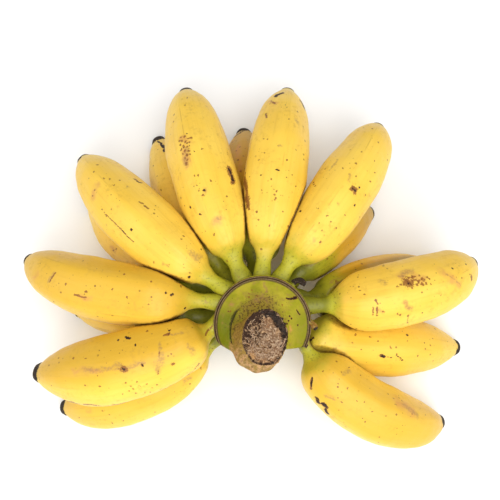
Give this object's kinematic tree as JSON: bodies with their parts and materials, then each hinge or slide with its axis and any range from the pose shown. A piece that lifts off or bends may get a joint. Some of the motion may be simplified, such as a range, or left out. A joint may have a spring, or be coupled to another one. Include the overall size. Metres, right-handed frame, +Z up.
{
  "type": "hand of bananas",
  "caption": "Hand of small plump dessert bananas in two rows, joined at a green crown on a short cut stalk, resting with the stalk up.",
  "frame": {"origin": "on the table, under the middle of the whole hand", "axes": "+Z up, along the cut stalk; +Y to the back, away from the open side with no fingers; +X to the right seen from that open side"},
  "size_m": [0.2641, 0.2145, 0.0906],
  "materials": {
    "peel": "ripe yellow peel, satin, with brown flecks and a green neck",
    "crown_rind": "green rind with a brown scar ring and a dry fibrous cut",
    "dry_end": "dry, shrivelled, matt"
  },
  "bodies": {
    "root": {"stalk_and_crown": "crown_rind", "upper_finger_1": "peel", "upper_finger_2": "peel", "upper_finger_3": "peel", "upper_finger_4": "peel", "upper_finger_5": "peel", "upper_finger_6": "peel", "upper_finger_7": "peel", "upper_finger_8": "peel", "lower_finger_1": "peel", "lower_finger_2": "peel", "lower_finger_3": "peel", "lower_finger_4": "peel", "lower_finger_5": "peel", "lower_finger_6": "peel", "lower_finger_7": "peel", "lower_finger_8": "peel", "withered_stub_1": "dry_end", "withered_stub_2": "dry_end"}
  },
  "joints": []
}
